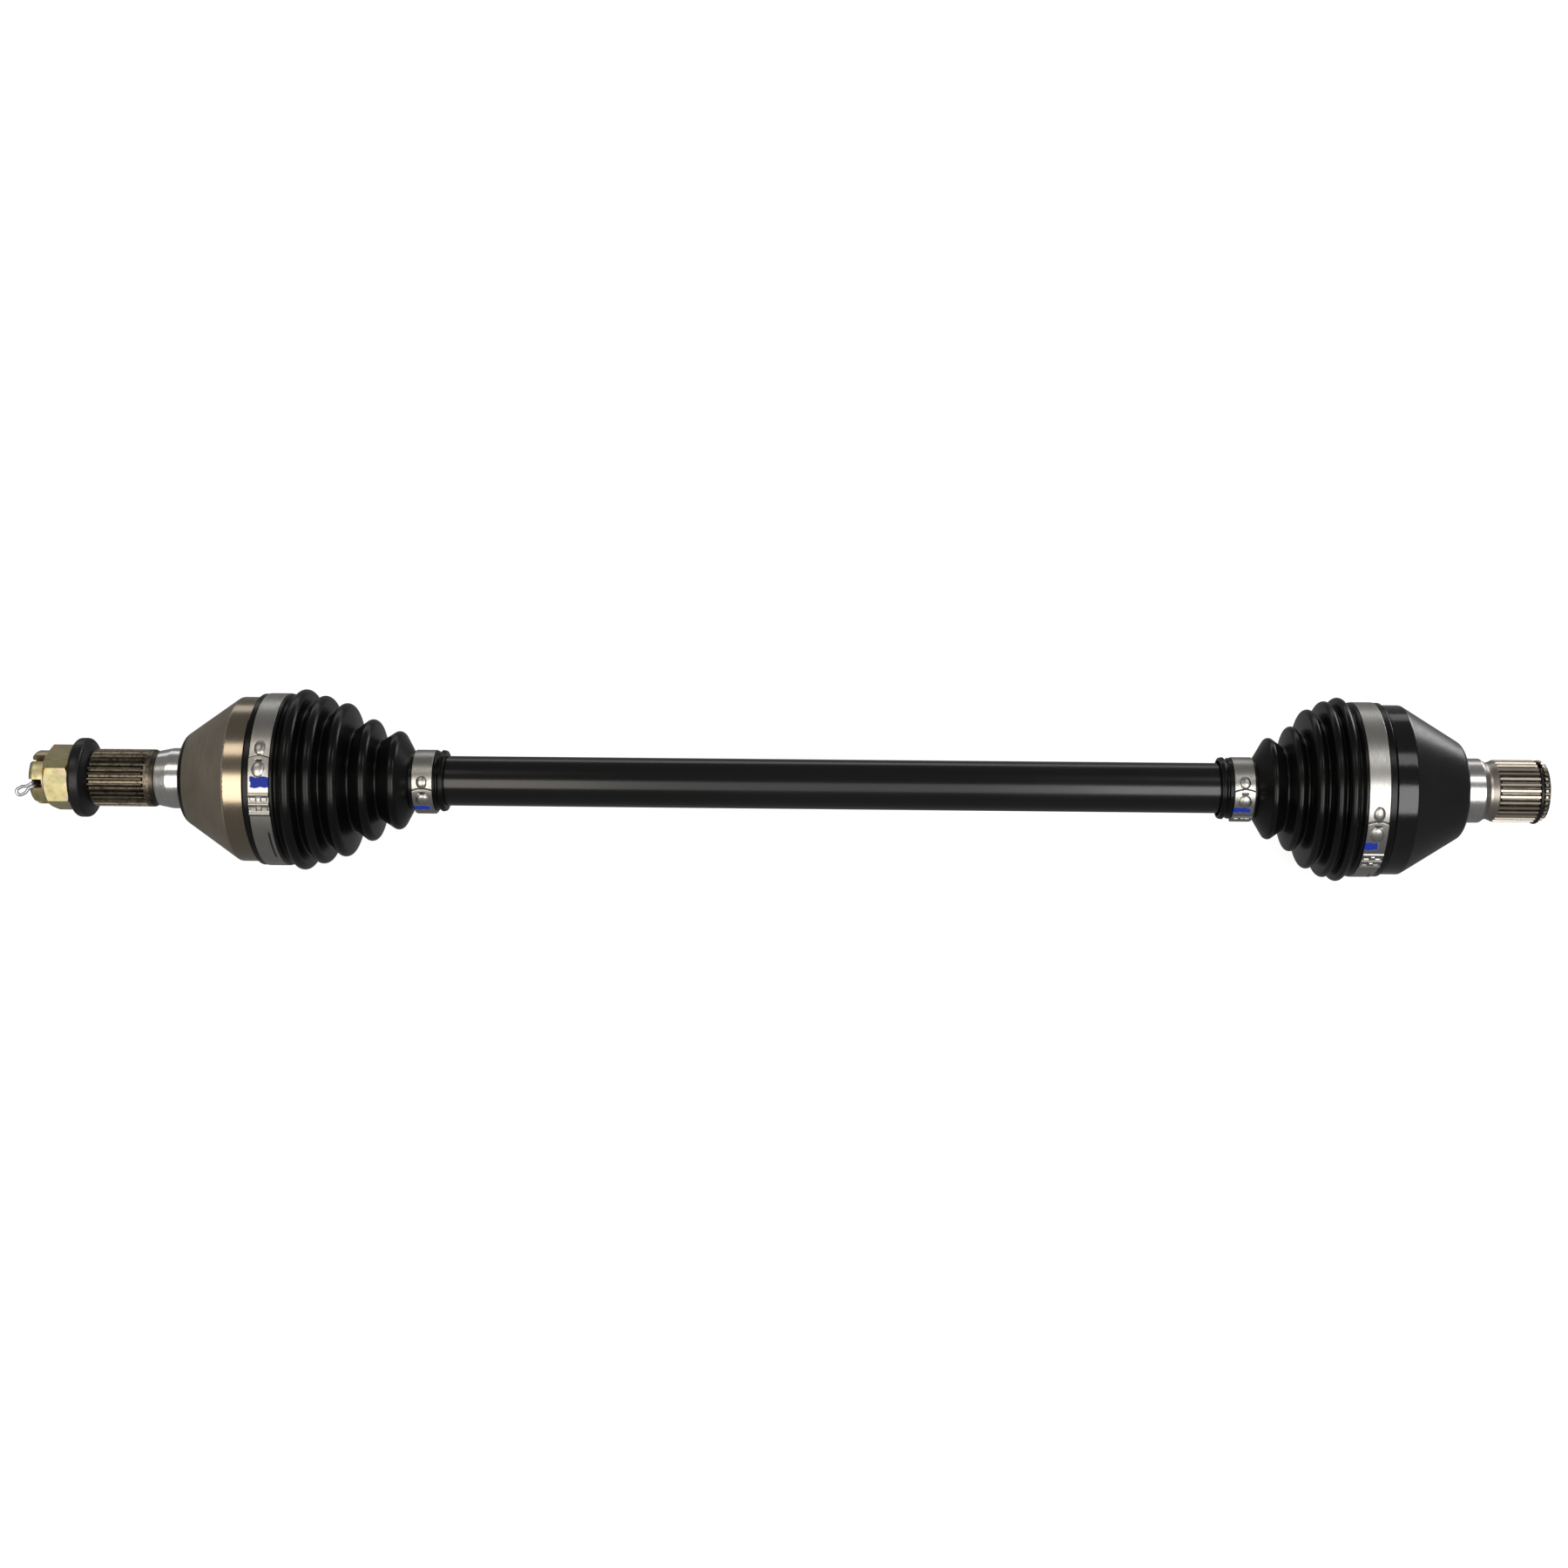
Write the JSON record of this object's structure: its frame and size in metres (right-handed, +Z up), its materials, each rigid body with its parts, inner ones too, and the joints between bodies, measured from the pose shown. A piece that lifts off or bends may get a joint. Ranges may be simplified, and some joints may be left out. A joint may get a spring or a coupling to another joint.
{
  "type": "cv axle",
  "caption": "Half-shaft: a round bar with a caged-ball constant-velocity joint, pleated rubber boot and splined stub at each end, and a castle nut with split pin on one.",
  "frame": {"origin": "on the axle's axis, midway between its two ends (the split pin's eye and the inboard spline's end)", "axes": "+X along the axle from the wheel end to the gearbox end; +Z up; the front side, -Y turned 45 degrees up, carries the clamps' laps and the split pin"},
  "size_m": [0.7696, 0.0914, 0.0914],
  "materials": {
    "bar_paint": "gloss black paint over a one-inch steel bar",
    "machined_steel": "oiled bare steel, turned, with ground bearing seats",
    "cup_paint": "satin black paint on the cup, bare ground steel on the stub",
    "ball_steel": "polished hardened steel",
    "race_steel": "ground hardened steel",
    "cage_steel": "dark hardened steel",
    "ring_steel": "black oxide spring steel",
    "boot_rubber": "satin moulded rubber",
    "clamp_steel": "stainless strip with a blue paint mark",
    "nut_zinc": "yellow passivated zinc",
    "washer_black": "matt black phosphate",
    "pin_zinc": "bright zinc"
  },
  "bodies": {
    "axle": {"axle_bar": "bar_paint", "outboard_inner_race": "race_steel", "outboard_race_ring": "ring_steel", "inboard_stop_ring": "ring_steel", "outboard_small_clamp": "clamp_steel", "inboard_small_clamp": "clamp_steel"},
    "outboard_upper_ball": {"outboard_ball_1": "ball_steel"},
    "outboard_caged_balls": {"outboard_cage": "cage_steel", "outboard_ball_2": "ball_steel", "outboard_ball_3": "ball_steel", "outboard_ball_5": "ball_steel", "outboard_ball_6": "ball_steel"},
    "outboard_lower_ball": {"outboard_ball_4": "ball_steel"},
    "outboard_end": {"outboard_housing": "machined_steel", "outboard_boot": "boot_rubber", "outboard_large_clamp": "clamp_steel", "castle_nut": "nut_zinc", "cone_washer": "washer_black", "split_pin": "pin_zinc"},
    "inboard_race": {"inboard_inner_race": "race_steel"},
    "inboard_upper_ball": {"inboard_ball_1": "ball_steel"},
    "inboard_caged_balls": {"inboard_cage": "cage_steel", "inboard_ball_2": "ball_steel", "inboard_ball_3": "ball_steel", "inboard_ball_5": "ball_steel", "inboard_ball_6": "ball_steel"},
    "inboard_lower_ball": {"inboard_ball_4": "ball_steel"},
    "inboard_end": {"inboard_housing": "cup_paint", "inboard_boot": "boot_rubber", "inboard_large_clamp": "clamp_steel", "gearbox_snap_ring": "ring_steel"}
  },
  "joints": [
    {"name": "outboard_tilt_first_half", "type": "hinge", "parent": "axle", "child": "outboard_upper_ball", "pos_m": [-0.2637, 0, 0], "axis": [0, 1, 0], "range_deg": [-14, 14], "deforming": ["outboard_boot"]},
    {"name": "outboard_swing_first_half", "type": "hinge", "parent": "outboard_upper_ball", "child": "outboard_caged_balls", "pos_m": [-0.2637, 0, 0], "axis": [0, 0, 1], "range_deg": [-14, 14], "deforming": ["outboard_boot"]},
    {"name": "outboard_swing_second_half", "type": "hinge", "parent": "outboard_caged_balls", "child": "outboard_lower_ball", "pos_m": [-0.2637, 0, 0], "axis": [0, 0, 1], "range_deg": [-14, 14]},
    {"name": "outboard_tilt_second_half", "type": "hinge", "parent": "outboard_lower_ball", "child": "outboard_end", "pos_m": [-0.2637, 0, 0], "axis": [0, 1, 0], "range_deg": [-14, 14]},
    {"name": "inboard_plunge", "type": "slide", "parent": "axle", "child": "inboard_race", "axis": [1, 0, 0], "range_m": [-0.003, 0.012], "deforming": ["inboard_boot"]},
    {"name": "inboard_tilt_first_half", "type": "hinge", "parent": "inboard_race", "child": "inboard_upper_ball", "pos_m": [0.3043, 0, 0], "axis": [0, 1, 0], "range_deg": [-7.5, 7.5], "deforming": ["inboard_boot"]},
    {"name": "inboard_swing_first_half", "type": "hinge", "parent": "inboard_upper_ball", "child": "inboard_caged_balls", "pos_m": [0.3043, 0, 0], "axis": [0, 0, 1], "range_deg": [-7.5, 7.5], "deforming": ["inboard_boot"]},
    {"name": "inboard_swing_second_half", "type": "hinge", "parent": "inboard_caged_balls", "child": "inboard_lower_ball", "pos_m": [0.3043, 0, 0], "axis": [0, 0, 1], "range_deg": [-7.5, 7.5]},
    {"name": "inboard_tilt_second_half", "type": "hinge", "parent": "inboard_lower_ball", "child": "inboard_end", "pos_m": [0.3043, 0, 0], "axis": [0, 1, 0], "range_deg": [-7.5, 7.5]}
  ],
  "couplings": [
    {"joint": "outboard_tilt_second_half", "follows": "outboard_tilt_first_half", "ratio": 1},
    {"joint": "outboard_swing_second_half", "follows": "outboard_swing_first_half", "ratio": 1},
    {"joint": "inboard_tilt_second_half", "follows": "inboard_tilt_first_half", "ratio": 1},
    {"joint": "inboard_swing_second_half", "follows": "inboard_swing_first_half", "ratio": 1}
  ]
}
